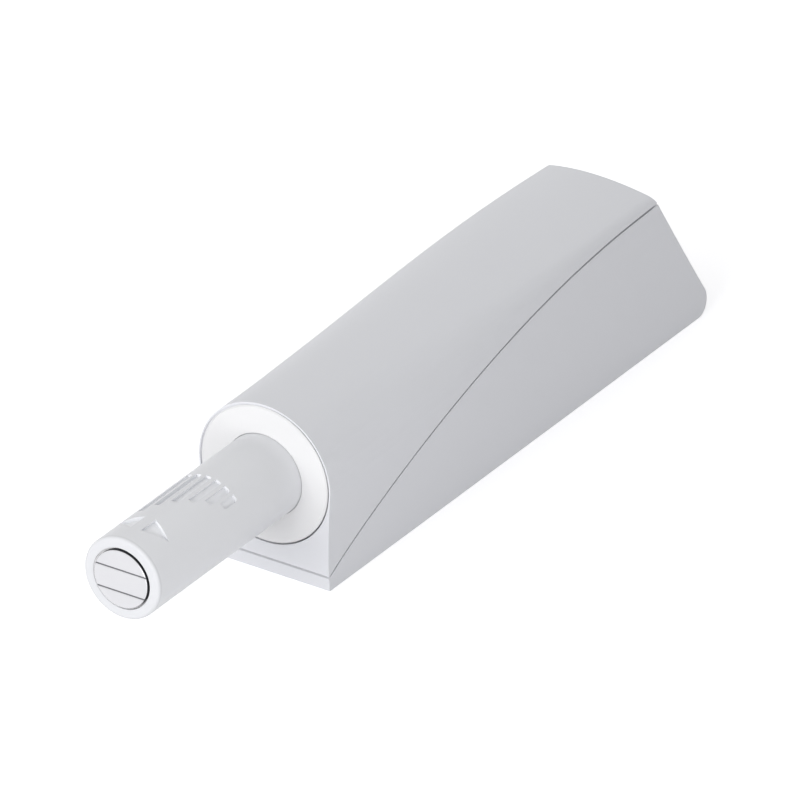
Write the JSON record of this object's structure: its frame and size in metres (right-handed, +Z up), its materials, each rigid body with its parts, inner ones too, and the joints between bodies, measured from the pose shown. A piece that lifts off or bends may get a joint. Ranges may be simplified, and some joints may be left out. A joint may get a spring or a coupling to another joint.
{
  "type": "push to open catch",
  "caption": "Slim surface-mounted push to open catch: sprung latching plunger with magnet tip, turned to set its depth, in a two-part housing.",
  "frame": {"origin": "on the sole of the base, at the middle of its front edge", "axes": "+Z up from the mounting surface, +Y back along the plunger's axis, so the plunger comes out along -Y, +X to the right when looking along +Y"},
  "size_m": [0.014, 0.0843, 0.0167],
  "materials": {
    "housing_plastic": "satin moulded plastic, light grey",
    "cartridge_plastic": "satin moulded plastic, off-white",
    "acetal": "smooth natural acetal",
    "steel": "drawn bright steel",
    "spring_steel": "oiled spring wire",
    "brass": "turned brass",
    "elastomer": "soft moulded elastomer",
    "magnet": "nickel-plated magnet",
    "pole_steel": "ground and plated pole plate"
  },
  "bodies": {
    "housing": {"base": "housing_plastic", "cover": "housing_plastic", "barrel": "cartridge_plastic", "end_cap": "acetal", "spring_guide": "steel", "ejection_spring": "spring_steel", "retaining_clip": "steel"},
    "slider": {"latch_slider": "acetal", "adjuster_spindle": "steel", "stop_buffer": "elastomer"},
    "detent": {"detent_ring": "acetal"},
    "plunger": {"plunger": "cartridge_plastic", "adjuster_nut": "brass", "magnet_seat": "acetal", "magnet_cushion": "elastomer", "magnet": "magnet", "pole_plate_upper": "pole_steel", "pole_plate_lower": "pole_steel"},
    "wire": {"latch_wire": "steel"}
  },
  "joints": [
    {"name": "plunger_slide", "type": "slide", "parent": "housing", "child": "slider", "axis": [0, 1, 0], "range_m": [0, 0.02], "stiffness_N_per_m": 150, "springref_m": -0.02, "deforming": ["ejection_spring"]},
    {"name": "plunger_turn", "type": "hinge", "parent": "slider", "child": "detent", "pos_m": [0, 0, 0.00975], "axis": [0, 1, 0], "range_deg": [-360, 360]},
    {"name": "depth_adjust", "type": "slide", "parent": "detent", "child": "plunger", "axis": [0, 1, 0], "range_m": [-0.0015, 0.0015]},
    {"name": "latch_wire_swing", "type": "hinge", "parent": "housing", "child": "wire", "pos_m": [0, 0.049, 0.01175], "axis": [0, 0, 1], "range_deg": [0, 3.9]}
  ],
  "couplings": [
    {"joint": "plunger_turn", "follows": "depth_adjust", "rad_per_m": 4188.8},
    {"joint": "latch_wire_swing", "follows": "plunger_slide", "rad_per_m": 3.4}
  ]
}
